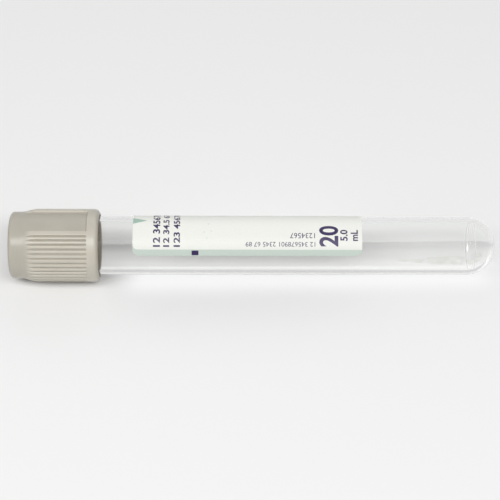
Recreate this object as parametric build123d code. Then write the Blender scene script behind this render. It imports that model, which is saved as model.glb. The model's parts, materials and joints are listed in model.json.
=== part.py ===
"""Blood collection tube: a clear round-bottomed plastic tube, a rubber stopper, a ribbed plastic shield
over it, a wrap label and a drift of powdered additive, lying on its side as it comes to rest.

Every piece is made about the tube's own axis. Distances s run along that axis from the shield's top face
to the tube's round end. Angles round the axis start at the floor side (0) and go by the front (-90) to the
top (-180).
"""

import os
from math import asin, atan2, cos, degrees, hypot, radians, sin
from build123d import *

# tube
tube_length = 100.0
tube_diameter = 12.9
foot_relief = 0.1  # by how much the radius is less below the label
relief_run = 6.0
tube_wall = 1.0
lip_chamfer = 0.3

# stopper
stopper_clearance = 0.05  # radial, in the tube and in the shield
head_thickness = 2.5
plug_length = 9.0
plug_relief = 0.3  # depth of the grooves that leave the plug standing as sealing rings
plug_lead = 0.8  # length of the taper at the plug's foot
top_well_radius = 3.2
top_well_depth = 1.5
diaphragm = 4.6
foot_hollow_radius = 2.9

# shield
shield_length = 19.6
mouth_depth = 6.6  # shield's top face to the tube's mouth
skirt_gap = 0.35  # radial, skirt to tube
skirt_wall = 0.6  # at the floor of the panels
collar_wall = 0.55
collar_round = 0.9
rib_height = 0.6
needle_opening_radius = 5.2
opening_chamfer = 0.4
bead_height = 0.2
bead_length = 0.8
ramp_start = 2.4
ramp_end = 6.0
rim_length = 2.6
rim_round = 1.3
seam_turn = -0.46  # from the floor line to where the round surfaces of the rim close on themselves

# grip: two smooth panels opposite each other, with ribs between them
panel_angle = 47.0
panel_elevation = 96.5  # of one panel's middle, up from the front
edge_rib_angle = 9.0  # from a panel's edge to the nearest groove
grooves_per_side = 16
groove_spread = 0.08  # share by which the grooves at a side's middle are wider apart than evenly spaced ones
groove_depth = 0.5
groove_floor_width = 0.14
groove_mouth_width = 0.4

# label
label_start = 27.0
label_length = 49.8
label_thickness = 0.1
label_wrap = 200.0
label_edge_elevation = 30.0  # of its lower edge, up from the front
label_corner = 1.3

# additive
drift_length = 14.5
drift_depth = 0.45

past = 1.0  # how far a cutting shape runs past what it cuts

tube_radius = tube_diameter / 2
foot_radius = tube_radius - foot_relief
bore_radius = tube_radius - tube_wall
end_centre = mouth_depth + tube_length - foot_radius
head_top = mouth_depth - head_thickness
skirt_bore = tube_radius + skirt_gap
collar_radius = skirt_bore + collar_wall
panel_radius = skirt_bore + skirt_wall
crest_radius = panel_radius + rib_height
rim_start = shield_length - rim_length
label_end = label_start + label_length


def turned(outline):
    """A solid of revolution about the tube's axis, from its half section's (radius, s) points or edges."""
    edges = outline if isinstance(outline[0], Edge) else Polyline(outline, close=True)
    return revolve(Plane.XZ * make_face(edges), Axis.Z)


def make_bore():
    """The tube's inside: a straight bore with a hemispherical end."""
    length = end_centre - mouth_depth
    barrel = Cylinder(bore_radius, length, align=(Align.CENTER, Align.CENTER, Align.MIN))
    return Pos(0, 0, mouth_depth) * barrel + Pos(0, 0, end_centre) * Sphere(bore_radius)


def make_tube():
    """One moulded piece, a little slimmer below the label, with its lip broken inside and out."""
    side = Polyline(
        (0, mouth_depth),
        (tube_radius, mouth_depth),
        (tube_radius, label_end),
        (foot_radius, label_end + relief_run),
        (foot_radius, end_centre),
    )
    dome = CenterArc((0, end_centre), foot_radius, 0, 90)
    shell = turned([*side.edges(), dome.edge(), Line(dome @ 1, side @ 0).edge()]) - make_bore()
    lip = shell.edges().filter_by(GeomType.CIRCLE).filter_by_position(Axis.Z, mouth_depth, mouth_depth)
    return chamfer(lip, lip_chamfer)


def make_stopper():
    """A head on the tube's lip and a plug down its bore, hollowed from both ends round a diaphragm."""
    head_radius = skirt_bore - stopper_clearance
    plug_radius = bore_radius - stopper_clearance
    foot = mouth_depth + plug_length
    ring = plug_length / 5  # three sealing rings and the two grooves between them
    diaphragm_top = head_top + top_well_depth
    diaphragm_foot = diaphragm_top + diaphragm
    outline = [
        (0, diaphragm_top),
        (top_well_radius, diaphragm_top),
        (top_well_radius, head_top),
        (head_radius, head_top),
        (head_radius, mouth_depth),
        (plug_radius, mouth_depth),
    ]
    for groove_s in (mouth_depth + ring, mouth_depth + 3 * ring):
        outline += [
            (plug_radius, groove_s),
            (plug_radius - plug_relief, groove_s + ring / 4),
            (plug_radius - plug_relief, groove_s + 3 * ring / 4),
            (plug_radius, groove_s + ring),
        ]
    outline += [
        (plug_radius, foot - plug_lead),
        (plug_radius - plug_lead, foot),
        (foot_hollow_radius, foot),
        (foot_hollow_radius, diaphragm_foot),
        (0, diaphragm_foot),
    ]
    return turned(outline)


def grip_outline():
    """The shield's cross-section where it is gripped: a disc with its grooves and its two panels cut away."""
    outside = crest_radius + past
    groove_floor = crest_radius - groove_depth
    groove = make_face(
        Polyline(
            (groove_floor, groove_floor_width / 2),
            (crest_radius, groove_mouth_width / 2),
            (outside, groove_mouth_width / 2),
            (outside, -groove_mouth_width / 2),
            (crest_radius, -groove_mouth_width / 2),
            (groove_floor, -groove_floor_width / 2),
            close=True,
        )
    )
    half_panel = panel_angle / 2
    across = outside * sin(radians(half_panel))
    along = outside * cos(radians(half_panel))
    panel = make_face(Polyline((0, 0), (along, across), (outside, 0), (along, -across), close=True))
    panel -= Circle(panel_radius)
    half_side = 90 - half_panel - edge_rib_angle
    places = [2 * k / (grooves_per_side - 1) - 1 for k in range(grooves_per_side)]
    turns = [90 + half_side * place * (1 + groove_spread * (1 - place**2)) for place in places]
    cuts = []
    for side in (0, 180):
        cuts.append(Rot(Z=side) * panel)
        cuts += [Rot(Z=side + turn) * groove for turn in turns]
    return Rot(Z=-90 - panel_elevation) * (Circle(crest_radius) - cuts)


def make_shield():
    """A cap whose ledge and bead hold the stopper's head, with a needle opening and a skirt round the tube."""
    envelope = turned(
        FilletPolyline(
            (0, 0),
            (collar_radius, 0),
            (collar_radius, ramp_start),
            (crest_radius, ramp_end),
            (crest_radius, shield_length),
            (0, shield_length),
            radius=(0, collar_round, 0, 0, rim_round, 0),
            close=True,
        ).edges()
    )
    bead_top = mouth_depth + stopper_clearance
    cavity = turned(
        [
            (0, -past),
            (needle_opening_radius + opening_chamfer, -past),
            (needle_opening_radius + opening_chamfer, 0),
            (needle_opening_radius, opening_chamfer),
            (needle_opening_radius, head_top),
            (skirt_bore, head_top),
            (skirt_bore, bead_top),
            (skirt_bore - bead_height, bead_top + bead_length / 2),
            (skirt_bore, bead_top + bead_length),
            (skirt_bore, shield_length - opening_chamfer),
            (skirt_bore + opening_chamfer, shield_length),
            (skirt_bore + opening_chamfer, shield_length + past),
            (0, shield_length + past),
        ]
    )
    grip = extrude(grip_outline(), rim_start)
    rim = Pos(0, 0, rim_start) * extrude(Circle(crest_radius), rim_length)
    return (grip + Rot(Z=seam_turn) * rim) & (Rot(Z=seam_turn) * envelope) - cavity


def make_label():
    """A paper strip wrapped part of the way round the tube, with rounded corners."""
    low = (Align.MIN, Align.MIN)
    section = Pos(tube_radius, label_start) * Rectangle(label_thickness, label_length, align=low)
    wrap = revolve(Plane.XZ * section, Axis.Z, label_wrap)
    spare = Pos(-past, -past) * Rectangle(past + label_corner, past + label_corner, align=low)
    spare -= Pos(label_corner, label_corner) * Circle(label_corner)
    cuts = []
    for end_s, into_label in ((label_start, 1), (label_end, -1)):
        for edge_angle, turn in ((0, 1), (label_wrap, -1)):
            corner = Plane((0, 0, end_s), x_dir=(0, 0, into_label), z_dir=(-into_label * turn, 0, 0))
            cuts.append(Rot(Z=edge_angle) * extrude(corner * spare, tube_diameter, dir=(1, 0, 0)))
    return Rot(Z=-90 - label_edge_elevation - label_wrap) * (wrap - cuts)


def make_additive():
    """A shallow drift of powder on the bore's floor side, deepest at the round end."""
    slope = degrees(atan2(drift_depth, drift_length))
    bed = Box(tube_diameter, tube_diameter, tube_length, align=(Align.MIN, Align.CENTER, Align.MIN))
    return make_bore() & Pos(bore_radius, 0, end_centre - drift_length) * Rot(Y=-slope) * bed


# the part rests on the rounded corner of the shield's rim and on the tube's round end
corner_s = shield_length - rim_round
corner_radius = crest_radius - rim_round
run = end_centre - corner_s
tilt = degrees(atan2(corner_radius, run) - asin((foot_radius - rim_round) / hypot(corner_radius, run)))

pieces = {
    "tube": make_tube(),
    "stopper": make_stopper(),
    "shield": make_shield(),
    "label": make_label(),
    "additive_powder": make_additive(),
}
tilted = {name: Rot(Y=90 + tilt) * piece for name, piece in pieces.items()}
bounds = Compound(list(tilted.values())).bounding_box()
lay_down = Pos(-bounds.center().X, 0, -bounds.min.Z)

os.makedirs("parts", exist_ok=True)
for name, piece in tilted.items():
    export_step(lay_down * piece, f"parts/{name}.step")

top = lay_down.position
print(f"shield top centre {top.X:.4f} {top.Z:.4f}, axis {cos(radians(tilt)):.6f} 0 {-sin(radians(tilt)):.6f}")
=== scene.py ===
"""A blood collection tube lying on its side: a clear round-bottomed tube with powdered additive in it, a
rubber stopper, a ribbed shield over that, and a wrap label with its print, on a pale floor under soft light.

Every piece is made about the tube's own axis, in millimetres. Distances s run along that axis from the
shield's top face to the round end. Elevations turn round it, in degrees up from the front.
"""

import json
from math import ceil, cos, degrees, pi, radians, sin, tan

import bmesh
import bpy
from mathutils import Matrix, Vector


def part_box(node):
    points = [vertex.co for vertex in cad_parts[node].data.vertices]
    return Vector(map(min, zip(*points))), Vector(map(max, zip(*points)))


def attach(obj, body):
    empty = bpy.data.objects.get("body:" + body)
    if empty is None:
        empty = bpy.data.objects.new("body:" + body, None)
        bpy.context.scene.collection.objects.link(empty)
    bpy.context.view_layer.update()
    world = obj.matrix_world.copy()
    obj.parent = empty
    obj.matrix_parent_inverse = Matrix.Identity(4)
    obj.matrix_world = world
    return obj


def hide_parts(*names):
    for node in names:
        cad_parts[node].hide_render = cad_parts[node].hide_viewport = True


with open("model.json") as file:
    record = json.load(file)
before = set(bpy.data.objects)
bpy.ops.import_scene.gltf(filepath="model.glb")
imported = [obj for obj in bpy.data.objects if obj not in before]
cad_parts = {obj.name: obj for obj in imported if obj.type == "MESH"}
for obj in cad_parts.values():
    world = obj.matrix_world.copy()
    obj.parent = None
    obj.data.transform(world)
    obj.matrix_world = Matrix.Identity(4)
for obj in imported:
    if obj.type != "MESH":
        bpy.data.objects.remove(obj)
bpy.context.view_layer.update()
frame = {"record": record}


# ---------------------------------------------------------------- tube
# One clear polyester injection moulding with a straight bore and a hemispherical end. Its lip is broken
# inside and out, and the mould's core and cavity meet in a fine witness line where the round end begins.
# The plastic is bright and very slightly hazy.

mm = 0.001
mounts = {mount["name"]: mount for mount in frame["record"]["mounts"]}
needle_wall_middle = 2.25  # s of the needle opening's mount
along = Vector(mounts["rack_barrel"]["axis"]).normalized()
sideways = Vector((0, 1, 0))
upward = along.cross(sideways)
shield_top = Vector(mounts["needle_opening"]["pos_m"]) - along * needle_wall_middle * mm
lay = Matrix((along * mm, sideways * mm, upward * mm)).transposed().to_4x4()
lay.translation = shield_top


def width(cad_node):
    """A round CAD node's diameter, from its box across the axis."""
    low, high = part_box(cad_node)
    return (high.y - low.y) / mm


tube_radius = width("tube") / 2
foot_radius = mounts["rack_barrel"]["dims"]["r_mm"]
tube_wall = 1.0
bore_radius = tube_radius - tube_wall
mouth_s = 6.6
label_end = 76.8
foot_s = 82.8  # where the slimmer foot begins
dome_s = 100.25  # where the round end begins
lip_round = 0.3
witness_angle = 9.0  # degrees round the end to the middle of the witness line
witness_floor = 1.6  # degrees from its middle to the edge of its floor
witness_mouth = 2.3  # and to its edge on the tube's skin
witness_depth = 0.1
dome_steps = 32
tube_sides = 160


def local(s, radius, elevation):
    """A point by its distance along the tube, radius and elevation, before the tube is laid down."""
    turn = radians(elevation)
    return Vector((s, -radius * cos(turn), radius * sin(turn)))


def rounded(corners, step=12.0, hold=0.25):
    """The (s, radius) line through (s, radius, round) corners, each rounded by short steps of so many
    degrees. A point a little way down each long side keeps its shading flat."""
    line = []
    for n, (s, radius, round_radius) in enumerate(corners):
        here = Vector((s, radius))
        if not round_radius or n in (0, len(corners) - 1):
            line.append(here)
            continue
        before = Vector(corners[n - 1][:2]) - here
        after = Vector(corners[n + 1][:2]) - here
        turn = pi - before.angle(after)
        reach = round_radius * tan(turn / 2)
        centre = here + (before.normalized() + after.normalized()).normalized() * round_radius / cos(turn / 2)
        start = here + before.normalized() * reach
        end = here + after.normalized() * reach
        if before.length > reach + 3 * hold:
            line.append(start + before.normalized() * hold)
        steps = max(2, ceil(degrees(turn) / step))
        first = start - centre
        sweep = first.angle_signed(end - centre)
        for k in range(steps + 1):
            line.append(centre + Matrix.Rotation(-sweep * k / steps, 2) @ first)
        if after.length > reach + 3 * hold:
            line.append(end + after.normalized() * hold)
    return line


def arc(centre_s, centre_radius, radius, start, end, steps):
    """(s, radius) points of an arc: angles in degrees, 0 straight out from the axis and 90 along it."""
    turns = [radians(start + (end - start) * k / steps) for k in range(steps + 1)]
    return [Vector((centre_s + radius * sin(t), centre_radius + radius * cos(t))) for t in turns]


def turned(name, outline, elevations):
    """A mesh turned about the axis from (s, radius) points. It closes on the axis where the outline starts
    or ends there, and on itself where it doesn't."""
    bm = bmesh.new()
    on_axis = 1e-6
    rings = []
    for s, radius in outline:
        turns = [0.0] if radius < on_axis else elevations
        rings.append([bm.verts.new(local(s, radius, e)) for e in turns])
    pairs = list(zip(rings, rings[1:]))
    if len(rings[0]) > 1 and len(rings[-1]) > 1:
        pairs.append((rings[-1], rings[0]))
    count = len(elevations)
    for ring, following in pairs:
        for k in range(count):
            loop = [ring[k % len(ring)], ring[(k + 1) % len(ring)]]
            loop += [following[(k + 1) % len(following)], following[k % len(following)]]
            bm.faces.new(list(dict.fromkeys(loop)))
    bmesh.ops.recalc_face_normals(bm, faces=bm.faces)
    mesh = bpy.data.meshes.new(name)
    bm.to_mesh(mesh)
    bm.free()
    return mesh


def evenly(count):
    """So many elevations evenly round the axis."""
    return [360 * k / count for k in range(count)]


def put(tree, kind, inputs=None, **settings):
    """A new node. Each input is given its value or the socket that feeds it."""
    node = tree.nodes.new(kind)
    for setting, value in settings.items():
        setattr(node, setting, value)
    for socket, value in (inputs or {}).items():
        if isinstance(value, bpy.types.NodeSocket):
            tree.links.new(value, node.inputs[socket])
        else:
            node.inputs[socket].default_value = value
    return node


def calc(tree, operation, *values):
    """A Math node's result."""
    return put(tree, "ShaderNodeMath", dict(enumerate(values)), operation=operation).outputs[0]


def noise(tree, place, scale, detail=2.0):
    """A noise over the coordinates, from 0 to 1."""
    return put(tree, "ShaderNodeTexNoise", {"Vector": place, "Scale": scale, "Detail": detail}).outputs["Fac"]


def ramp(tree, value, low, high, start=0.0, end=1.0):
    """value eased from start to end as it goes from low to high."""
    inputs = {"Value": value, "From Min": low, "From Max": high, "To Min": start, "To Max": end}
    return put(tree, "ShaderNodeMapRange", inputs, interpolation_type="SMOOTHSTEP").outputs[0]


def finish(name, **sockets):
    """A material with one Principled shader, and its tree, shader and Object coordinates."""
    material = bpy.data.materials.new(name)
    material.use_nodes = True
    tree = material.node_tree
    shader = tree.nodes["Principled BSDF"]
    for socket, value in sockets.items():
        shader.inputs[socket.replace("_", " ")].default_value = value
    place = put(tree, "ShaderNodeTexCoord").outputs["Object"]
    return material, tree, shader, place


def bump(tree, shader, height, distance):
    """A bump on the shader, of so many metres for a height of 1."""
    node = put(tree, "ShaderNodeBump", {"Height": height, "Distance": distance, "Strength": 1.0})
    tree.links.new(node.outputs[0], shader.inputs["Normal"])


def add_piece(name, mesh, material, body, stands_for=None, crease=35.0):
    """The finished object: laid down, shaded smooth between creases, and riding on its body."""
    mesh.transform(lay)
    mesh.materials.clear()
    mesh.materials.append(material)
    mesh.shade_smooth()
    mesh.set_sharp_from_angle(angle=radians(crease))
    piece = bpy.data.objects.new(name, mesh)
    bpy.context.scene.collection.objects.link(piece)
    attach(piece, body)
    if stands_for:
        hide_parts(stands_for)


past_witness = witness_angle + witness_mouth
before_witness = witness_angle - witness_mouth
floor_angles = (witness_angle + witness_floor, witness_angle - witness_floor)
tube_outline = arc(dome_s, 0, foot_radius, 90, past_witness, dome_steps - 2)
tube_outline += arc(dome_s, 0, foot_radius - witness_depth, *floor_angles, 3)
tube_outline += arc(dome_s, 0, foot_radius, before_witness, 0, 3)
tube_outline += rounded(
    [
        (dome_s, foot_radius, 0),
        (foot_s, foot_radius, 0),
        (label_end, tube_radius, 0),
        (mouth_s, tube_radius, lip_round),
        (mouth_s, bore_radius, lip_round),
        (dome_s, bore_radius, 0),
    ]
)[1:]
tube_outline += arc(dome_s, 0, bore_radius, 0, 90, dome_steps)[1:]

clear_plastic, tree, shader, place = finish(
    "clear_polyester",
    Base_Color=(0.975, 0.98, 0.972, 1.0),
    IOR=1.57,
    Transmission_Weight=1.0,
    Specular_Tint=(0.12, 0.12, 0.12, 1.0),
)
clearest = 0.03
haziest = 0.05
haze = ramp(tree, noise(tree, place, 220.0, 4.0), 0.35, 0.7, clearest, haziest)
tree.links.new(haze, shader.inputs["Roughness"])
ripple_height = 0.0000003
flow_lines = put(tree, "ShaderNodeMapping", {"Vector": place, "Scale": (60, 500, 500)}).outputs[0]
bump(tree, shader, noise(tree, flow_lines, 1.0), ripple_height)

# Light on its way from a lamp, or scattered by what it has lit, goes straight through the wall, less of it
# the more edge on the wall is. Light that the wall has reflected three times is let out of it.
passed_face_on = 0.985
passed_edge_on = 0.05
let_out_share = 0.93
rays = put(tree, "ShaderNodeLightPath").outputs
slant = put(tree, "ShaderNodeLayerWeight", {"Blend": 0.5}).outputs["Facing"]
passed = ramp(tree, slant, 0.55, 1.0, passed_face_on, passed_edge_on)
straight_through = put(tree, "ShaderNodeBsdfTransparent", {"Color": passed}).outputs[0]
trapped = calc(tree, "GREATER_THAN", rays["Glossy Depth"], 2.5)
let_out = put(tree, "ShaderNodeBsdfTransparent", {"Color": (let_out_share,) * 3 + (1.0,)}).outputs[0]
surface = put(tree, "ShaderNodeMixShader", {"Fac": trapped, 1: shader.outputs[0], 2: let_out}).outputs[0]
for ray in ("Is Diffuse Ray", "Is Shadow Ray"):
    surface = put(tree, "ShaderNodeMixShader", {"Fac": rays[ray], 1: surface, 2: straight_through}).outputs[0]
tree.links.new(surface, tree.nodes["Material Output"].inputs["Surface"])
tube_mesh = turned("clear_tube", tube_outline, evenly(tube_sides))
add_piece("clear_tube", tube_mesh, clear_plastic, "tube", "tube")


# ---------------------------------------------------------------- additive powder
# A pinch of fine white salt crystals, loose in the tube. Most of it has run down to the round end's floor
# side, and the rest clings in a thin dusting along the bore.

drift_start = 85.75
drift_end = 104.4
drift_half_width = 15.0  # degrees round the bore, at its widest
drift_grains = {
    "Grains_per_area": 60.0,
    "Clumps_per_length": 0.8,
    "Grain_radius": 0.08,
    "Size_spread": 0.5,
    "Lift": 0.1,
    "Seed": 4,
}
dusting_start = 58.0
dusting_half_width = 34.0
dusting_grains = {
    "Grains_per_area": 4.0,
    "Clumps_per_length": 0.6,
    "Grain_radius": 0.05,
    "Size_spread": 0.6,
    "Lift": 0.04,
    "Seed": 11,
}


def named_tree(name, **sizes):
    """A Geometry Nodes tree with a mesh and named sizes going in, and its nodes for both ends."""
    tree = bpy.data.node_groups.new(name, "GeometryNodeTree")
    tree.interface.new_socket("Geometry", in_out="INPUT", socket_type="NodeSocketGeometry")
    for size, value in sizes.items():
        kind = "NodeSocketInt" if isinstance(value, int) else "NodeSocketFloat"
        tree.interface.new_socket(size.replace("_", " "), in_out="INPUT", socket_type=kind)
    tree.interface.new_socket("Geometry", in_out="OUTPUT", socket_type="NodeSocketGeometry")
    given = put(tree, "NodeGroupInput").outputs
    return tree, given


def close_tree(tree, geometry, material):
    """Ends the tree: instances made real, and the material set."""
    real = put(tree, "GeometryNodeRealizeInstances", {"Geometry": geometry}).outputs[0]
    coated = put(tree, "GeometryNodeSetMaterial", {"Geometry": real, "Material": material}).outputs[0]
    put(tree, "NodeGroupOutput", {"Geometry": coated})


def grown(mesh, tree, **sizes):
    """The plain mesh that a tree makes from a mesh and its sizes."""
    blank = bpy.data.objects.new(mesh.name, mesh)
    bpy.context.scene.collection.objects.link(blank)
    modifier = blank.modifiers.new("grow", "NODES")
    modifier.node_group = tree
    for item in tree.interface.items_tree:
        size = item.name.replace(" ", "_")
        if item.in_out == "INPUT" and size in sizes:
            modifier[item.identifier] = sizes[size]
    evaluated = blank.evaluated_get(bpy.context.evaluated_depsgraph_get())
    made = bpy.data.meshes.new_from_object(evaluated)
    bpy.data.objects.remove(blank)
    return made


def bore_patch(name, start, end, half_width, rows, across, taper):
    """A strip of the bore's floor side that follows the round end. It widens over the first part, taper, of
    its length."""
    tip_share = 0.15  # of its full width
    bm = bmesh.new()
    grid = []
    for j in range(rows + 1):
        s = start + (end - start) * j / rows
        radius = bore_radius if s <= dome_s else (bore_radius**2 - (s - dome_s) ** 2) ** 0.5
        share = min(1.0, tip_share + (1 - tip_share) * j / rows / taper)
        turns = [-90 + half_width * share * (2 * k / across - 1) for k in range(across + 1)]
        grid.append([bm.verts.new(local(s, radius, e)) for e in turns])
    for row, following in zip(grid, grid[1:]):
        for k in range(across):
            bm.faces.new((row[k], following[k], following[k + 1], row[k + 1]))
    mesh = bpy.data.meshes.new(name)
    bm.to_mesh(mesh)
    bm.free()
    return mesh


def blend(tree, factor, first, second):
    """A colour mixed from first to second by factor."""
    node = put(tree, "ShaderNodeMix", {"Factor": factor}, data_type="RGBA")
    for socket, value in ((node.inputs[6], first), (node.inputs[7], second)):
        if isinstance(value, bpy.types.NodeSocket):
            tree.links.new(value, socket)
        else:
            socket.default_value = value
    return node.outputs[2]


def mottled(tree, cloud, dark, light, low=0.3, high=0.7):
    """A colour that drifts from dark to light as a noise goes from low to high."""
    return blend(tree, ramp(tree, cloud, low, high), dark, light)


def srgb(red, green, blue):
    """A linear colour from 0 to 255 screen values."""
    def linear(c):
        c /= 255
        return c / 12.92 if c <= 0.04045 else ((c + 0.055) / 1.055) ** 2.4
    return (linear(red), linear(green), linear(blue), 1.0)


salt, tree, shader, place = finish("salt_crystals", Roughness=0.55, IOR=1.45)
salt_white = mottled(tree, noise(tree, place, 900.0), srgb(243, 242, 237), srgb(252, 252, 249))
tree.links.new(salt_white, shader.inputs["Base Color"])

tree, given = named_tree("scattered_grains", **drift_grains)
clumps = put(tree, "ShaderNodeTexNoise", {"Scale": given["Clumps per length"], "Detail": 2.0}).outputs[0]
density = calc(tree, "MULTIPLY", ramp(tree, clumps, 0.4, 0.62), given["Grains per area"])
scatter = put(
    tree,
    "GeometryNodeDistributePointsOnFaces",
    {"Mesh": given["Geometry"], "Density": density, "Seed": given["Seed"]},
)
raised = put(
    tree, "ShaderNodeVectorMath", {0: scatter.outputs["Normal"], "Scale": given["Lift"]}, operation="SCALE"
)
points = put(
    tree, "GeometryNodeSetPosition", {"Geometry": scatter.outputs["Points"], "Offset": raised.outputs[0]}
)
crystal = put(tree, "GeometryNodeMeshIcoSphere", {"Radius": given["Grain radius"], "Subdivisions": 1})
least = calc(tree, "SUBTRACT", 1.0, given["Size spread"])
most = calc(tree, "ADD", 1.0, given["Size spread"])
size = put(tree, "FunctionNodeRandomValue", {2: least, 3: most, "Seed": given["Seed"]}, data_type="FLOAT")
any_turn = (6.3, 6.3, 6.3)
turn = put(tree, "FunctionNodeRandomValue", {1: any_turn, "Seed": 9}, data_type="FLOAT_VECTOR")
grains = put(
    tree,
    "GeometryNodeInstanceOnPoints",
    {
        "Points": points.outputs[0],
        "Instance": crystal.outputs["Mesh"],
        "Rotation": turn.outputs[0],
        "Scale": size.outputs[1],
    },
)
close_tree(tree, grains.outputs[0], salt)

bed = bore_patch("drift", drift_start, drift_end, drift_half_width, rows=60, across=12, taper=0.6)
drift = grown(bed, tree, **drift_grains)
bed = bore_patch("dusting", dusting_start, drift_end, dusting_half_width, rows=80, across=16, taper=0.9)
dusting = grown(bed, tree, **dusting_grains)
add_piece("powder_drift", drift, salt, "tube", "additive_powder", crease=20.0)
add_piece("powder_dusting", dusting, salt, "tube", crease=20.0)


# ---------------------------------------------------------------- stopper
# Grey butyl rubber, compression moulded. Its head sits on the tube's lip and its plug goes down the bore on
# three sealing rings. It is hollowed from both ends, round the diaphragm that the needle goes through.

skirt_gap = 0.35  # from the tube out to the shield's skirt
skirt_bore = tube_radius + skirt_gap
stopper_clearance = 0.05
head_radius = skirt_bore - stopper_clearance
head_top = 4.1
plug_length = 9.0
plug_foot = mouth_s + plug_length
plug_radius = bore_radius - stopper_clearance
plug_lead = 0.8
ring_pitch = plug_length / 5
ring_depth = 0.3
ring_round = 0.2
diaphragm_top = 5.6
diaphragm_foot = 10.2
top_well_radius = 3.2
foot_hollow_radius = 2.9
well_round = 0.5
edge_round = 0.2
stopper_sides = 128

# each corner's s, radius and rounding
stopper_corners = [
    (diaphragm_top, 0.0, 0),
    (diaphragm_top, top_well_radius, well_round),
    (head_top, top_well_radius, edge_round),
    (head_top, head_radius, 0.3),
    (mouth_s, head_radius, 0.15),
    (mouth_s, plug_radius, 0.1),
]
for groove_s in (mouth_s + ring_pitch, mouth_s + 3 * ring_pitch):
    stopper_corners += [
        (groove_s, plug_radius, ring_round),
        (groove_s + ring_pitch / 4, plug_radius - ring_depth, ring_round),
        (groove_s + 3 * ring_pitch / 4, plug_radius - ring_depth, ring_round),
        (groove_s + ring_pitch, plug_radius, ring_round),
    ]
stopper_corners += [
    (plug_foot - plug_lead, plug_radius, 0.3),
    (plug_foot, plug_radius - plug_lead, 0.25),
    (plug_foot, foot_hollow_radius, edge_round),
    (diaphragm_foot, foot_hollow_radius, well_round),
    (diaphragm_foot, 0.0, 0),
]

rubber, tree, shader, place = finish("grey_butyl_rubber", IOR=1.5)
speckle = noise(tree, place, 1800.0, 3.0)
bloom = noise(tree, place, 160.0)
shade = calc(tree, "ADD", calc(tree, "MULTIPLY", speckle, 0.5), calc(tree, "MULTIPLY", bloom, 0.5))
rubber_grey = mottled(tree, shade, srgb(118, 118, 120), srgb(140, 140, 141), 0.35, 0.65)
tree.links.new(rubber_grey, shader.inputs["Base Color"])
tree.links.new(ramp(tree, bloom, 0.3, 0.7, 0.5, 0.72), shader.inputs["Roughness"])
speckle_height = 0.00002
bump(tree, shader, speckle, speckle_height)
stopper_mesh = turned("rubber_stopper", rounded(stopper_corners), evenly(stopper_sides))
add_piece("rubber_stopper", stopper_mesh, rubber, "stopper", "stopper")


# ---------------------------------------------------------------- shield
# A warm grey polyethylene moulding that snaps over the stopper's head. A plain collar swells into the grip,
# where fine grooves leave wide ribs on both sides, between two smooth panels. A plain rim closes the skirt.

shield_end = 19.6
crest_radius = width("shield") / 2
skirt_wall = 0.6  # at the panels
collar_wall = 0.55
panel_radius = skirt_bore + skirt_wall
collar_radius = skirt_bore + collar_wall
collar_round = 0.9
top_face_middle = 6.2  # radius where the outline starts and ends
swell_start = 2.4
swell_end = 6.0
rim_start = 17.0
rim_round = 1.3
mouth_chamfer = 0.4
bead_s = 7.05  # the bead that holds the stopper's head
bead_half_length = 0.4
bead_height = 0.2
panel_angle = 47.0
panel_elevation = 96.5
edge_rib_angle = 9.0
grooves_per_side = 16
groove_spread = 0.08  # by how much the grooves at a side's middle are wider apart than evenly spaced ones
groove_depth = 0.32
groove_width = 0.6
crest_sag = 0.1  # by which a rib's crown falls towards its grooves
half_side = 90 - panel_angle / 2 - edge_rib_angle  # degrees from a side's middle to its last groove
opening_radius = mounts["needle_opening"]["dims"]["r_mm"]


def swell(s):
    """The grip's radius at s, easing up from the collar to the ribs' crests."""
    share = (s - swell_start) / (swell_end - swell_start)
    return collar_radius + (crest_radius - collar_radius) * share * share * (3 - 2 * share)


def groove_turn(k):
    """Degrees from a panel's middle to groove k. The grooves are closer together towards the panels."""
    place = 2 * k / (grooves_per_side - 1) - 1
    return 90 + half_side * place * (1 + groove_spread * (1 - place * place))


def grip_elevations():
    """Elevations crowded at the grooves and the panels' edges, where the grip's section bends."""
    turns = set()
    groove_offsets = (-2.9, -1.9, -1.45, -1.1, -0.75, -0.4, 0.0, 0.4, 0.75, 1.1, 1.45, 1.9, 2.9)
    edge_offsets = (-2.5, -1.0, -0.5, -0.2, 0.1, 0.4, 0.8, 1.4, 2.5, 4.0)
    for side in (0, 180):
        for k in range(grooves_per_side):
            turns |= {side + groove_turn(k) + t for t in groove_offsets}
            turns.add(side + groove_turn(k + 0.5))
        for edge in (-1, 1):
            turns |= {side + edge * (panel_angle / 2 + t) for t in edge_offsets}
        turns |= {side - panel_angle / 2 + 3 + t for t in range(0, int(panel_angle) - 5, 4)}
    return sorted({round((panel_elevation + t) % 360, 4) for t in turns})


top_middle = (0, top_face_middle, 0)
outer = rounded([top_middle, (0, collar_radius, collar_round), (swell_start, collar_radius, 0)])
swell_steps = 18
for k in range(1, swell_steps + 1):
    swell_s = swell_start + (swell_end - swell_start) * k / swell_steps
    outer.append(Vector((swell_s, swell(swell_s))))
groove_wall = 0.07  # half the length of the step that ends the grooves
straight = [swell_end + 0.4, 9.0, 12.0, 15.0, rim_start - 0.25, rim_start - groove_wall]
outer += [Vector((s, crest_radius)) for s in straight + [rim_start + groove_wall, rim_start + 0.3]]
rim_sweep = 68  # degrees of the rim's rounding, up to the mouth's chamfer
outer += arc(shield_end - rim_round, crest_radius - rim_round, rim_round, 0, rim_sweep, 9)
lip_set_in = 0.07
lip = (shield_end - lip_set_in, skirt_bore + mouth_chamfer - lip_set_in, 0.05)
mouth_edge = (shield_end - mouth_chamfer, skirt_bore)
outer = rounded([(point.x, point.y, 0) for point in outer] + [lip, (*mouth_edge, 0)])[:-1]
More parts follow.
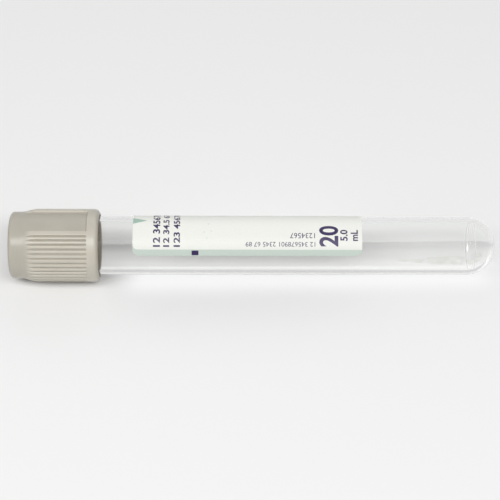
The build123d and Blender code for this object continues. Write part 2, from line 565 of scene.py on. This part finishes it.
inner = rounded(
    [
        (*mouth_edge, 0.1),
        (bead_s + bead_half_length, skirt_bore, 0.2),
        (bead_s, skirt_bore - bead_height, 0.2),
        (bead_s - bead_half_length, skirt_bore, 0.2),
        (head_top, skirt_bore, 0.15),
        (head_top, opening_radius, 0.15),
        (0.0, opening_radius, 0.4),
        top_middle,
    ]
)[:-1]
blank_shield = turned("shield_blank", outer + inner, grip_elevations())

shield_sizes = {
    "Panel_elevation": panel_elevation,
    "Panel_angle": panel_angle,
    "Panel_radius": panel_radius,
    "Crest_radius": crest_radius,
    "Half_side": half_side,
    "Grooves_per_side": float(grooves_per_side),
    "Groove_spread": groove_spread,
    "Groove_depth": groove_depth,
    "Groove_width": groove_width,
    "Crest_sag": crest_sag,
    "Grip_end": rim_start,
    "Skin_radius": (skirt_bore + panel_radius) / 2 + 0.12,  # only what lies outside it is pressed
}
shield_plastic, tree, shader, place = finish(
    "warm_grey_polyethylene",
    IOR=1.51,
    Subsurface_Weight=0.12,
    Subsurface_Radius=(1.0, 0.9, 0.75),
    Subsurface_Scale=0.0008,
)


def vector_math(tree, operation, *values):
    """A Vector Math node's outputs."""
    return put(tree, "ShaderNodeVectorMath", dict(enumerate(values)), operation=operation).outputs


# The collar and the grooves are a little darker than the crests and the rim, and the inside is browner: the
# lighter crests are a painted highlight, the darker grooves painted shade, and the darker inside painted
# shade.
from_top = vector_math(tree, "SUBTRACT", place, shield_top)[0]
run = vector_math(tree, "DOT_PRODUCT", from_top, along)["Value"]
on_axis = put(tree, "ShaderNodeVectorMath", {0: along, "Scale": run}, operation="SCALE").outputs[0]
from_axis = vector_math(tree, "DISTANCE", from_top, on_axis)["Value"]
flow = noise(tree, place, 130.0, 3.0)
dark = mottled(tree, flow, srgb(176, 171, 159), srgb(181, 176, 164))
light = mottled(tree, flow, srgb(191, 186, 173), srgb(196, 191, 178))
# painted shade: the inside of the skirt is darker and browner than the outside
inside = mottled(tree, flow, srgb(150, 138, 126), srgb(158, 146, 134))
rim_share = 0.3  # of the crests' lightness
near_rim = ramp(tree, run, 15.5 * mm, 17.5 * mm, 0.0, rim_share)
# painted highlight on the ribs' crests, and painted shade towards the groove floors
crest_highlight = ramp(tree, from_axis, 7.5 * mm, 7.9 * mm)
off_mouth = ramp(tree, from_axis, 6.6 * mm, 6.9 * mm)
crest_highlight_and_rim_lightness = calc(tree, "MULTIPLY", calc(tree, "MAXIMUM", near_rim, crest_highlight), off_mouth)
outside = blend(tree, crest_highlight_and_rim_lightness, dark, light)
skin = blend(tree, ramp(tree, from_axis, 6.9 * mm, 7.1 * mm), inside, outside)
tree.links.new(skin, shader.inputs["Base Color"])
tree.links.new(ramp(tree, flow, 0.3, 0.7, 0.28, 0.33), shader.inputs["Roughness"])
spark_height = 0.000008  # of the fine texture that the mould was sparked with
bump(tree, shader, noise(tree, place, 2600.0), spark_height)

tree, given = named_tree("grooved_grip", **shield_sizes)
spot = put(tree, "GeometryNodeInputPosition").outputs[0]
parts = put(tree, "ShaderNodeSeparateXYZ", {"Vector": spot}).outputs
front = calc(tree, "MULTIPLY", parts["Y"], -1.0)
elevation = calc(tree, "DEGREES", calc(tree, "ARCTAN2", parts["Z"], front))
height_squared = calc(tree, "MULTIPLY", parts["Z"], parts["Z"])
radius = calc(tree, "SQRT", calc(tree, "MULTIPLY_ADD", front, front, height_squared))
off_panel = calc(tree, "PINGPONG", calc(tree, "SUBTRACT", elevation, given["Panel elevation"]), 90.0)
# how far along a side, from 0 at its middle to 1 at its last groove, and then as if its grooves were evenly
# spaced, which three rounds bring near enough
along_side = calc(tree, "DIVIDE", calc(tree, "SUBTRACT", 90.0, off_panel), given["Half side"])
even = along_side
for _ in range(3):
    closer = calc(tree, "SUBTRACT", 1.0, calc(tree, "MULTIPLY", even, even))
    even = calc(tree, "DIVIDE", along_side, calc(tree, "MULTIPLY_ADD", given["Groove spread"], closer, 1.0))
# gaps from the side's middle, then from the nearest groove, which is half a gap at most
gaps = calc(tree, "MULTIPLY", calc(tree, "SUBTRACT", given["Grooves per side"], 1.0), 0.5)
from_middle = calc(tree, "MINIMUM", calc(tree, "MULTIPLY", even, gaps), calc(tree, "ADD", gaps, 0.5))
off_groove = calc(tree, "PINGPONG", calc(tree, "ADD", from_middle, 0.5), 0.5)
even_gap = calc(tree, "DIVIDE", calc(tree, "RADIANS", given["Half side"]), gaps)
wider = calc(tree, "MULTIPLY_ADD", calc(tree, "MULTIPLY", even, even), -3.0, 1.0)
gap = calc(tree, "MULTIPLY", even_gap, calc(tree, "MULTIPLY_ADD", given["Groove spread"], wider, 1.0))
off_groove_mm = calc(tree, "MULTIPLY", calc(tree, "MULTIPLY", off_groove, gap), given["Crest radius"])
half_groove = calc(tree, "MULTIPLY", given["Groove width"], 0.5)
flat_share = 0.12  # of a groove's width, at its floor
cut = ramp(tree, off_groove_mm, calc(tree, "MULTIPLY", half_groove, flat_share), half_groove, 1.0, 0.0)
cut = calc(tree, "MULTIPLY", cut, given["Groove depth"])
sag = calc(tree, "POWER", calc(tree, "SUBTRACT", 1.0, calc(tree, "MULTIPLY", off_groove, 2.0)), 2.0)
cut = calc(tree, "ADD", cut, calc(tree, "MULTIPLY", sag, given["Crest sag"]))
ribs = calc(tree, "SUBTRACT", given["Crest radius"], cut)
edge = calc(tree, "SUBTRACT", off_panel, calc(tree, "MULTIPLY", given["Panel angle"], 0.5))
on_rib = ramp(tree, edge, -0.3, 0.6)  # degrees over which the edge rib rises from its panel
step_up = calc(tree, "SUBTRACT", ribs, given["Panel radius"])
grip = calc(tree, "ADD", given["Panel radius"], calc(tree, "MULTIPLY", on_rib, step_up))
swell_blend = 0.06
grip = calc(tree, "SMOOTH_MIN", radius, grip, swell_blend)
scale = calc(tree, "DIVIDE", grip, radius)
across = put(tree, "ShaderNodeCombineXYZ", {"X": 1.0, "Y": scale, "Z": scale}).outputs[0]
pressed = vector_math(tree, "MULTIPLY", spot, across)[0]
in_grip = calc(tree, "LESS_THAN", parts["X"], given["Grip end"])
on_skin = calc(tree, "GREATER_THAN", radius, given["Skin radius"])
chosen = calc(tree, "GREATER_THAN", calc(tree, "MULTIPLY", in_grip, on_skin), 0.5)
shaped = put(
    tree,
    "GeometryNodeSetPosition",
    {"Geometry": given["Geometry"], "Selection": chosen, "Position": pressed},
)
close_tree(tree, shaped.outputs[0], shield_plastic)
ribbed = grown(blank_shield, tree, **shield_sizes)
add_piece("ribbed_shield", ribbed, shield_plastic, "shield", "shield", crease=50.0)


# ---------------------------------------------------------------- label
# A strip of coated white paper, glued part of the way round the tube, with its corners rounded. A pale green
# border runs along its lower edge, with a dark fill mark on it, and a pale green arrow head is at its left.

label_thickness = 0.1
label_radius = tube_radius + label_thickness
label_lift = 0.008  # of the paper's glued face off the tube
label_start = 27.0
label_length = label_end - label_start
label_wrap = 200.0
label_edge = 30.0  # elevation of its lower edge
label_width = radians(label_wrap) * label_radius
label_corner = 1.3


def wrapped(s_from_start, arc_length, radius):
    """A point on the label, from how far it is from the label's left and lower edges."""
    return local(label_start + s_from_start, radius, label_edge + degrees(arc_length / label_radius))


def label_mesh():
    """The label as rows across its width, each as long as the rounded corners leave it."""
    corner_steps = 8
    turns = [radians(90 * k / corner_steps) for k in range(corner_steps + 1)]
    ends = [(label_corner * (1 - cos(t)), label_corner * (1 - sin(t))) for t in turns]
    rows = ends + [(label_length * k / 24, 0.0) for k in range(1, 24)]
    rows += [(label_length - along_row, inset) for along_row, inset in reversed(ends)]
    across = 90
    bm = bmesh.new()
    flat = bm.loops.layers.uv.new("flat")
    sheets = []
    for radius in (label_radius, tube_radius + label_lift):
        sheet = []
        for u, inset in rows:
            span = label_width - 2 * inset
            arcs = [inset + span * k / across for k in range(across + 1)]
            sheet.append([(bm.verts.new(wrapped(u, v, radius)), u, v) for v in arcs])
        sheets.append(sheet)
    outside, inside = sheets
    rim = [(j, 0) for j in range(len(rows))] + [(len(rows) - 1, k) for k in range(1, across + 1)]
    rim += [(j, across) for j in range(len(rows) - 2, -1, -1)] + [(0, k) for k in range(across - 1, 0, -1)]
    quads = []
    for sheet in sheets:
        for row, following in zip(sheet, sheet[1:]):
            quads += [(row[k], following[k], following[k + 1], row[k + 1]) for k in range(across)]
    for (j, k), (next_j, next_k) in zip(rim, rim[1:] + rim[:1]):
        quads.append((outside[j][k], outside[next_j][next_k], inside[next_j][next_k], inside[j][k]))
    for quad in quads:
        face = bm.faces.new([vert for vert, _, _ in quad])
        for loop, (_, u, v) in zip(face.loops, quad):
            loop[flat].uv = (u, v)
    bmesh.ops.recalc_face_normals(bm, faces=bm.faces)
    mesh = bpy.data.meshes.new("paper_label")
    bm.to_mesh(mesh)
    bm.free()
    return mesh


def box_field(tree, flat, low_u, high_u, low_v, high_v, corner, soft=0.03):
    """1 inside a round-cornered box on the label's own millimetres, and 0 outside."""
    centre = ((low_u + high_u) / 2, (low_v + high_v) / 2, 0)
    half = ((high_u - low_u) / 2 - corner, (high_v - low_v) / 2 - corner, 0)
    off = vector_math(tree, "SUBTRACT", flat, centre)[0]
    off = vector_math(tree, "ABSOLUTE", off)[0]
    off = vector_math(tree, "SUBTRACT", off, half)[0]
    beyond = vector_math(tree, "MAXIMUM", off, (0, 0, 0))[0]
    far = vector_math(tree, "LENGTH", beyond)["Value"]
    parts = put(tree, "ShaderNodeSeparateXYZ", {"Vector": off}).outputs
    near = calc(tree, "MINIMUM", calc(tree, "MAXIMUM", parts["X"], parts["Y"]), 0.0)
    return ramp(tree, calc(tree, "ADD", far, near), corner - soft, corner + soft, 1.0, 0.0)


# from the label's left edge and up from its lower one
border_width = 1.37
field_corner = 1.1  # of the white field, where the border meets the label's left edge
arrow_length = 3.1
arrow_middle = 8.6
arrow_half_width = 1.1
fill_mark = (12.78, 14.29, 0.11, 1.16)
fill_mark_corner = 0.05
specks = ((16.5, 7.5), (15.5, 5.3), (17.0, 5.5), (16.1, 3.9))
speck_radius = 0.22
speck_blur = 0.18
speck_strength = 0.3

paper, tree, shader, place = finish("coated_paper", IOR=1.4)
flat = put(tree, "ShaderNodeUVMap", uv_map="flat").outputs[0]
parts = put(tree, "ShaderNodeSeparateXYZ", {"Vector": flat}).outputs
fibre = noise(tree, flat, 3.2, 5.0)
grain = noise(tree, flat, 14.0, 3.0)
# painted shade: the label's lower part is greyer than its upper part
shaded_lower_white = mottled(tree, fibre, srgb(227, 228, 222), srgb(232, 233, 227))
upper_white = mottled(tree, fibre, srgb(241, 242, 236), srgb(246, 247, 241))
white = blend(tree, ramp(tree, parts["Y"], 2.0, 9.0), shaded_lower_white, upper_white)
green = mottled(tree, fibre, srgb(190, 202, 193), srgb(195, 207, 198))
field = box_field(tree, flat, 0.0, label_length + 1, border_width, label_width + 5, field_corner)
colour = blend(tree, field, green, white)
arrow_slope = arrow_half_width / arrow_length
reach = calc(tree, "MULTIPLY", calc(tree, "SUBTRACT", arrow_length, parts["X"]), arrow_slope)
off_middle = calc(tree, "ABSOLUTE", calc(tree, "SUBTRACT", parts["Y"], arrow_middle))
arrow = ramp(tree, calc(tree, "SUBTRACT", reach, off_middle), -0.03, 0.03)
colour = blend(tree, arrow, colour, srgb(165, 194, 181))
for u, v in specks:
    box = (u - speck_radius, u + speck_radius, v - speck_radius, v + speck_radius)
    speck = box_field(tree, flat, *box, speck_radius, speck_blur)
    colour = blend(tree, calc(tree, "MULTIPLY", speck, speck_strength), colour, srgb(196, 200, 198))
mark = box_field(tree, flat, *fill_mark, fill_mark_corner)
colour = blend(tree, mark, colour, srgb(44, 28, 76))
tree.links.new(colour, shader.inputs["Base Color"])
tree.links.new(ramp(tree, grain, 0.3, 0.7, 0.36, 0.5), shader.inputs["Roughness"])
grain_height = 0.000004
bump(tree, shader, grain, grain_height)
add_piece("paper_label", label_mesh(), paper, "tube", "label")


# ---------------------------------------------------------------- print
# Dark purple ink, printed on the paper before it is wrapped: plain numbers in the places of the label's
# lines, and the volume that the tube draws.

ink_lift = 0.004
ink_thickness = 0.006
ink_strip = 0.3  # widest flat piece of a letter where the paper curves


def lettering(words, s, arc_start, height, length, reading, weight=0.0):
    """A line of type wrapped on the label. s and arc_start are where its baseline begins, height is that
    of its capitals and length that of the line. It reads up the label or back towards the shield."""
    type_curve = bpy.data.curves.new("type", "FONT")
    type_curve.body = words
    type_curve.offset = weight
    type_curve.extrude = 0.5
    type_curve.resolution_u = 4
    block = bpy.data.objects.new("type", type_curve)
    bpy.context.scene.collection.objects.link(block)
    mesh = bpy.data.meshes.new_from_object(block.evaluated_get(bpy.context.evaluated_depsgraph_get()))
    bpy.data.objects.remove(block)
    xs = [vert.co.x for vert in mesh.vertices]
    ys = [vert.co.y for vert in mesh.vertices]
    wide = length / (max(xs) - min(xs))
    tall = height / max(ys)
    low_x = min(xs)
    bm = bmesh.new()
    bm.from_mesh(mesh)
    for vert in bm.verts:
        vert.co = Vector(((vert.co.x - low_x) * wide, vert.co.y * tall, vert.co.z * ink_thickness))
    bmesh.ops.remove_doubles(bm, verts=bm.verts, dist=0.0005)
    curved = Vector((1, 0, 0)) if reading == "up" else Vector((0, 1, 0))
    reach = length if reading == "up" else height
    for k in range(1, ceil(reach / ink_strip)):
        everything = bm.verts[:] + bm.edges[:] + bm.faces[:]
        cut = curved * reach * k / ceil(reach / ink_strip)
        bmesh.ops.bisect_plane(bm, geom=everything, plane_co=cut, plane_no=curved)
    for vert in bm.verts:
        x, y, z = vert.co
        spot = (s - y, arc_start + x) if reading == "up" else (s - x, arc_start - y)
        vert.co = wrapped(spot[0] - label_start, spot[1], label_radius + ink_lift + z)
    bm.to_mesh(mesh)
    bm.free()
    return mesh


bold = 0.025  # by how much the heavier lines' strokes are thickened
lines = [
    lettering("12 3456789", 32.88, 1.93, 1.5, 12.0, "up", bold),
    lettering("12 34.5 678", 34.89, 1.94, 1.3, 11.4, "up", bold),
    lettering("123 45678", 37.20, 1.94, 1.35, 10.6, "up", bold),
    lettering("12 345678901 2345 67 89", 66.60, 3.05, 1.0, 15.1, "back"),
    lettering("1234567", 66.54, 5.08, 1.2, 5.4, "back"),
    lettering("20", 71.46, 2.05, 4.0, 4.9, "up", bold),
    lettering("5.0", 73.57, 3.3, 1.55, 2.6, "up", bold),
    lettering("mL", 75.83, 3.3, 1.5, 2.55, "up", bold),
]
bm = bmesh.new()
for line in lines:
    bm.from_mesh(line)
bmesh.ops.recalc_face_normals(bm, faces=bm.faces)
print_mesh = bpy.data.meshes.new("label_print")
bm.to_mesh(print_mesh)
bm.free()

ink, tree, shader, place = finish("purple_ink", Roughness=0.45, IOR=1.5)
patchy = noise(tree, place, 3000.0)
purple = mottled(tree, patchy, srgb(36, 20, 66), srgb(58, 42, 92), high=0.75)
tree.links.new(purple, shader.inputs["Base Color"])
add_piece("label_print", print_mesh, ink, "tube")


# ---------------------------------------------------------------- floor, light and camera
# A seamless pale floor, with a wide soft box above the tube and a little in front of it, a weak one behind
# it, and even light from all round. The camera looks down on the tube from the front.

floor_half = 2.0
floor_grey = srgb(242, 242, 242)
pale = srgb(239, 239, 239)


def band(tree, value, low, full_from, full_to, high):
    """1 between two places on the floor, in millimetres, fading to 0 at two others further out."""
    up = ramp(tree, value, low * mm, full_from * mm)
    down = ramp(tree, value, high * mm, full_to * mm)
    return calc(tree, "MULTIPLY", up, down)


floor_mesh = bpy.data.meshes.new("floor")
floor_corners = [(x * floor_half, y * floor_half, 0) for x, y in ((-1, -1), (1, -1), (1, 1), (-1, 1))]
floor_mesh.from_pydata(floor_corners, [], [(0, 1, 2, 3)])
floor_paint, tree, shader, place = finish(
    "pale_floor", Base_Color=floor_grey, Roughness=0.9, Specular_IOR_Level=0.1
)
rays = put(tree, "ShaderNodeLightPath").outputs
spot = put(tree, "ShaderNodeSeparateXYZ", {"Vector": place}).outputs

# The strip of light that the tube gathers in front of itself, as it is seen on the bare floor.
bare_level = 0.97
strip_gain = 0.16
strip_most = 0.85  # of the strip that shines, the rest being lit by the lamps
gathered_along = band(tree, spot["X"], -34.0, -24.0, 48.0, 60.0)
gathered_across = band(tree, spot["Y"], -11.8, -3.6, 0.0, 3.0)
gathered = calc(tree, "MULTIPLY", gathered_along, gathered_across)
strip_level = calc(tree, "MULTIPLY_ADD", gathered, strip_gain, bare_level)
strip_share = calc(tree, "MULTIPLY", gathered, strip_most)

# The bands that show through the clear wall: the bore's shadow, the lighter floor in front of it, the shade
# beside the cap, and the light and the dark line along the tube's lower edge.
back_level = 0.93
shadow_loss = 0.37
front_gain = 0.25
dark_line_loss = 0.36
light_line_gain = 0.04
through_least = 0.5  # of the floor seen through the wall that shines, the rest being lit by the lamps
through_most = 0.9  # on the light and the dark line
bore_shadow = band(tree, spot["Y"], 2.5, 6.6, 6.8, 7.3)
through_level = calc(tree, "MULTIPLY_ADD", bore_shadow, -shadow_loss, back_level)
in_front = ramp(tree, spot["Y"], 3.0 * mm, -0.5 * mm, 0.0, front_gain)
through_level = calc(tree, "ADD", through_level, in_front)
cap_shade = ramp(tree, spot["Y"], 10.5 * mm, 7.5 * mm, 0.16, 0.38)
cap_shade = calc(tree, "MULTIPLY", cap_shade, ramp(tree, spot["Y"], 4.2 * mm, 6.6 * mm, 0.3, 1.0))
cap_shade = calc(tree, "MULTIPLY", cap_shade, ramp(tree, spot["X"], -20.5 * mm, -31.5 * mm))
through_level = calc(tree, "MULTIPLY", through_level, calc(tree, "SUBTRACT", 1.0, cap_shade))
dark_line = ramp(tree, spot["Y"], -3.8 * mm, -5.2 * mm)
kept = calc(tree, "MULTIPLY_ADD", dark_line, -dark_line_loss, 1.0)
through_level = calc(tree, "MULTIPLY", through_level, kept)
light_line = band(tree, spot["Y"], -4.2, -3.4, -2.0, -1.2)
through_level = calc(tree, "MULTIPLY_ADD", light_line, light_line_gain, through_level)
either_line = calc(tree, "MAXIMUM", dark_line, light_line)
through_share = calc(tree, "MULTIPLY_ADD", either_line, through_most - through_least, through_least)

seen_bare = rays["Is Camera Ray"]
seen_through = rays["Is Transmission Ray"]
bare = calc(tree, "MULTIPLY", seen_bare, strip_level)
brightness = calc(tree, "MULTIPLY_ADD", seen_through, through_level, bare)
bare = calc(tree, "MULTIPLY", seen_bare, strip_share)
share = calc(tree, "MAXIMUM", bare, calc(tree, "MULTIPLY", seen_through, through_share))
plain = put(tree, "ShaderNodeEmission", {"Color": pale, "Strength": brightness}).outputs[0]
both = put(tree, "ShaderNodeMixShader", {"Fac": share, 1: shader.outputs[0], 2: plain}).outputs[0]
tree.links.new(both, tree.nodes["Material Output"].inputs["Surface"])
floor_mesh.materials.append(floor_paint)
floor = bpy.data.objects.new("floor", floor_mesh)
bpy.context.scene.collection.objects.link(floor)

lit_level = 0.29  # of the even light on the part
seen_level = 0.88  # of the surroundings, as they are seen, mirrored and seen through the tube
world = bpy.data.worlds.new("even_light")
world.use_nodes = True
tree = world.node_tree
rays = put(tree, "ShaderNodeLightPath").outputs
seen = calc(tree, "MAXIMUM", rays["Is Glossy Ray"], rays["Is Transmission Ray"])
seen = calc(tree, "MAXIMUM", rays["Is Camera Ray"], seen)
seen = calc(tree, "MULTIPLY", seen, calc(tree, "LESS_THAN", rays["Diffuse Depth"], 0.5))
level = calc(tree, "MULTIPLY_ADD", seen, seen_level - lit_level, lit_level)
tree.links.new(level, tree.nodes["Background"].inputs["Strength"])
tree.nodes["Background"].inputs["Color"].default_value = (1.0, 1.0, 1.0, 1.0)
bpy.context.scene.world = world


def aim(thing, place, target, roll=0.0):
    """Puts a light or camera at a place, looking at a target and rolled by so many degrees."""
    turn = (target - place).to_track_quat("-Z", "Y").to_matrix() @ Matrix.Rotation(radians(roll), 3, "Z")
    thing.matrix_world = Matrix.Translation(place) @ turn.to_4x4()


def from_front(elevation, distance):
    """A direction in front of the tube at an elevation, as far away as distance."""
    return Vector((0, -cos(radians(elevation)), sin(radians(elevation)))) * distance


def soft_box(name, azimuth, elevation, distance, width, height, watts):
    """A rectangular soft lamp aimed at the middle of the part. Azimuths turn from the front to the right."""
    turn = Matrix.Rotation(radians(azimuth), 3, "Z")
    lamp = bpy.data.lights.new(name, "AREA")
    lamp.shape = "RECTANGLE"
    lamp.size = width
    lamp.size_y = height
    lamp.energy = watts
    box = bpy.data.objects.new(name, lamp)
    bpy.context.scene.collection.objects.link(box)
    box.visible_transmission = False
    aim(box, turn @ from_front(elevation, distance), Vector((0, 0, 0)))


soft_box("front_soft_box", azimuth=-8, elevation=61, distance=0.8, width=1.3, height=0.26, watts=6.4)
soft_box("back_soft_box", azimuth=165, elevation=40, distance=0.8, width=1.2, height=0.4, watts=0.8)

camera_elevation = 50.0
camera_distance = 0.380
camera_roll = -0.628
camera_target = Vector((-0.0007, 0, 0.00578))
camera = bpy.data.cameras.new("camera")
camera.sensor_width = 36.0
camera.lens = 123.7
camera.clip_start = 0.01
viewpoint = bpy.data.objects.new("camera", camera)
bpy.context.scene.collection.objects.link(viewpoint)
aim(viewpoint, camera_target + from_front(camera_elevation, camera_distance), camera_target, camera_roll)
bpy.context.scene.camera = viewpoint
bpy.context.scene.view_settings.view_transform = "Standard"
